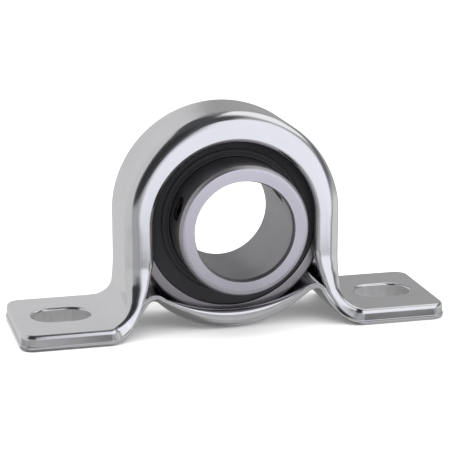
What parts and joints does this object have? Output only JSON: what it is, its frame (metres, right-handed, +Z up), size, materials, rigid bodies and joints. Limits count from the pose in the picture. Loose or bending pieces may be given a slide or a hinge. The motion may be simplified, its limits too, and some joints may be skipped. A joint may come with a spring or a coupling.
{
  "type": "pillow block bearing",
  "caption": "Pressed-steel pillow block with a self-aligning set-screw insert ball bearing, slotted feet and an open bore",
  "frame": {"origin": "on the mounting plane under the centre of the bearing, midway between the two bolt slots", "axes": "X along the feet, Y along the shaft with the set-screw side towards -Y, Z up"},
  "size_m": [0.111, 0.036, 0.0562],
  "materials": {
    "zinc_steel": "bright zinc-plated pressed sheet, smooth with soft reflections",
    "bearing_steel": "ground bearing steel",
    "cage_steel": "pressed cold-rolled steel strip",
    "seal_rubber": "moulded black nitrile rubber, satin",
    "black_steel": "black-oxide alloy steel"
  },
  "bodies": {
    "housing": {"upper_housing": "zinc_steel", "lower_housing": "zinc_steel"},
    "insert": {"outer_ring": "bearing_steel", "front_seal_core": "cage_steel", "front_seal_rubber": "seal_rubber", "rear_seal_core": "cage_steel", "rear_seal_rubber": "seal_rubber"},
    "inner": {"inner_ring": "bearing_steel"},
    "cage": {"cage_front_half": "cage_steel", "cage_rear_half": "cage_steel", "cage_rivets": "cage_steel"},
    "screw_1": {"set_screw_1": "black_steel"},
    "screw_2": {"set_screw_2": "black_steel"},
    "ball_1_body": {"ball_1": "bearing_steel"},
    "ball_2_body": {"ball_2": "bearing_steel"},
    "ball_3_body": {"ball_3": "bearing_steel"},
    "ball_4_body": {"ball_4": "bearing_steel"},
    "ball_5_body": {"ball_5": "bearing_steel"},
    "ball_6_body": {"ball_6": "bearing_steel"},
    "ball_7_body": {"ball_7": "bearing_steel"},
    "ball_8_body": {"ball_8": "bearing_steel"},
    "ball_9_body": {"ball_9": "bearing_steel"}
  },
  "joints": [
    {"name": "insert_tilt", "type": "hinge", "parent": "housing", "child": "insert", "pos_m": [0, 0, 0.0282], "axis": [1, 0, 0], "range_deg": [-2, 2]},
    {"name": "shaft_spin", "type": "hinge", "parent": "insert", "child": "inner", "pos_m": [0, 0, 0.0282], "axis": [0, 1, 0], "continuous": true},
    {"name": "cage_spin", "type": "hinge", "parent": "insert", "child": "cage", "pos_m": [0, 0, 0.0282], "axis": [0, 1, 0], "continuous": true},
    {"name": "ball_1_spin", "type": "hinge", "parent": "cage", "child": "ball_1_body", "pos_m": [0, 0, 0.0477], "axis": [0, 1, 0], "continuous": true},
    {"name": "ball_2_spin", "type": "hinge", "parent": "cage", "child": "ball_2_body", "pos_m": [0.01253, 0, 0.04314], "axis": [0, 1, 0], "continuous": true},
    {"name": "ball_3_spin", "type": "hinge", "parent": "cage", "child": "ball_3_body", "pos_m": [0.0192, 0, 0.03159], "axis": [0, 1, 0], "continuous": true},
    {"name": "ball_4_spin", "type": "hinge", "parent": "cage", "child": "ball_4_body", "pos_m": [0.01689, 0, 0.01845], "axis": [0, 1, 0], "continuous": true},
    {"name": "ball_5_spin", "type": "hinge", "parent": "cage", "child": "ball_5_body", "pos_m": [0.00667, 0, 0.00988], "axis": [0, 1, 0], "continuous": true},
    {"name": "ball_6_spin", "type": "hinge", "parent": "cage", "child": "ball_6_body", "pos_m": [-0.00667, 0, 0.00988], "axis": [0, 1, 0], "continuous": true},
    {"name": "ball_7_spin", "type": "hinge", "parent": "cage", "child": "ball_7_body", "pos_m": [-0.01689, 0, 0.01845], "axis": [0, 1, 0], "continuous": true},
    {"name": "ball_8_spin", "type": "hinge", "parent": "cage", "child": "ball_8_body", "pos_m": [-0.0192, 0, 0.03159], "axis": [0, 1, 0], "continuous": true},
    {"name": "ball_9_spin", "type": "hinge", "parent": "cage", "child": "ball_9_body", "pos_m": [-0.01253, 0, 0.04314], "axis": [0, 1, 0], "continuous": true},
    {"name": "set_screw_1_travel", "type": "slide", "parent": "inner", "child": "screw_1", "axis": [0.7547, 0, 0.6561], "range_m": [-0.0004, 0.003]},
    {"name": "set_screw_2_travel", "type": "slide", "parent": "inner", "child": "screw_2", "axis": [-0.9455, 0, 0.3256], "range_m": [-0.0004, 0.003]}
  ],
  "couplings": [
    {"joint": "cage_spin", "follows": "shaft_spin", "ratio": 0.39823},
    {"joint": "ball_1_spin", "follows": "shaft_spin", "ratio": -2.3548},
    {"joint": "ball_2_spin", "follows": "shaft_spin", "ratio": -2.3548},
    {"joint": "ball_3_spin", "follows": "shaft_spin", "ratio": -2.3548},
    {"joint": "ball_4_spin", "follows": "shaft_spin", "ratio": -2.3548},
    {"joint": "ball_5_spin", "follows": "shaft_spin", "ratio": -2.3548},
    {"joint": "ball_6_spin", "follows": "shaft_spin", "ratio": -2.3548},
    {"joint": "ball_7_spin", "follows": "shaft_spin", "ratio": -2.3548},
    {"joint": "ball_8_spin", "follows": "shaft_spin", "ratio": -2.3548},
    {"joint": "ball_9_spin", "follows": "shaft_spin", "ratio": -2.3548}
  ]
}
